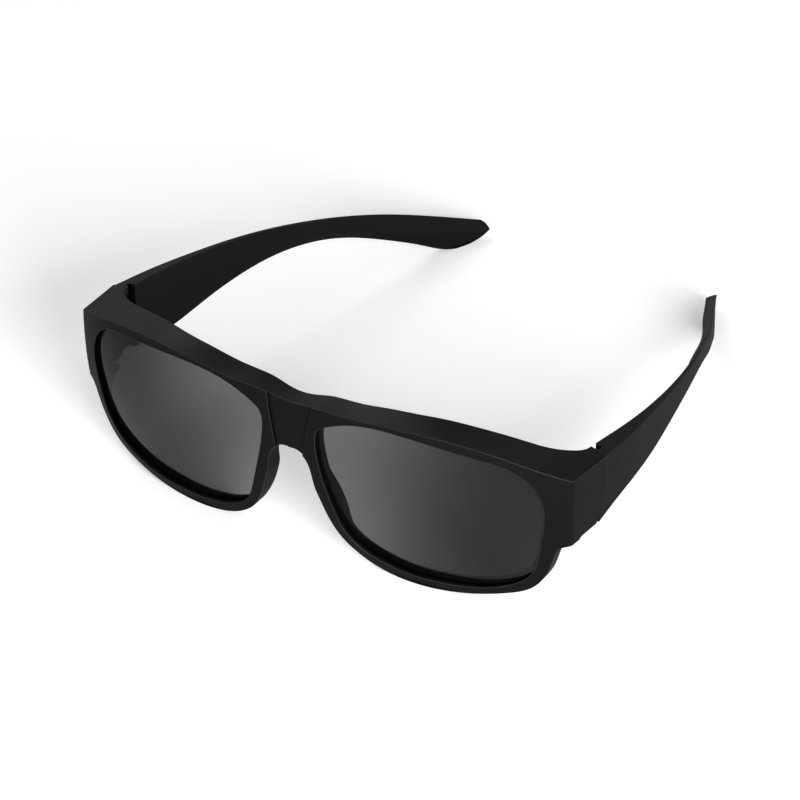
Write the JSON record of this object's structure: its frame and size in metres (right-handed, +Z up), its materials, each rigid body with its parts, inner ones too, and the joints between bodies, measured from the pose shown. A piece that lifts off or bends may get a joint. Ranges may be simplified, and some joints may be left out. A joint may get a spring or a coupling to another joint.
{
  "type": "fitover sunglasses",
  "caption": "Wrap-around sunglasses made to be worn over spectacles: moulded brow and rims, tinted lenses and bowed folding temples.",
  "frame": {"origin": "on the table under the middle of the spectacles' bounding box, resting on the rims and the temple tips", "axes": "+X across the face to the right lens as seen from the front, +Y from the lenses back to the temple tips, +Z up"},
  "size_m": [0.1484, 0.16, 0.0512],
  "materials": {
    "front_moulding": "satin black moulded polycarbonate",
    "temple_moulding": "satin black moulded nylon",
    "lens_tint": "dark grey polarised lens",
    "hinge_steel": "stamped steel",
    "screw_steel": "turned steel"
  },
  "bodies": {
    "front": {"front_frame": "front_moulding", "lens_left": "lens_tint", "lens_right": "lens_tint", "front_hinge_leaf_left": "hinge_steel", "front_hinge_leaf_right": "hinge_steel", "hinge_screw_left": "screw_steel", "hinge_screw_right": "screw_steel", "front_leaf_screws_left": "screw_steel", "front_leaf_screws_right": "screw_steel"},
    "temple_l": {"temple_left": "temple_moulding", "temple_hinge_leaf_left": "hinge_steel", "temple_leaf_screws_left": "screw_steel"},
    "temple_r": {"temple_right": "temple_moulding", "temple_hinge_leaf_right": "hinge_steel", "temple_leaf_screws_right": "screw_steel"}
  },
  "joints": [
    {"name": "temple_fold_left", "type": "hinge", "parent": "front", "child": "temple_l", "pos_m": [-0.0691, -0.0496, 0.0272], "axis": [0, 0, -1], "range_deg": [0, 76]},
    {"name": "temple_fold_right", "type": "hinge", "parent": "front", "child": "temple_r", "pos_m": [0.0691, -0.0496, 0.0272], "axis": [0, 0, 1], "range_deg": [0, 71]}
  ]
}
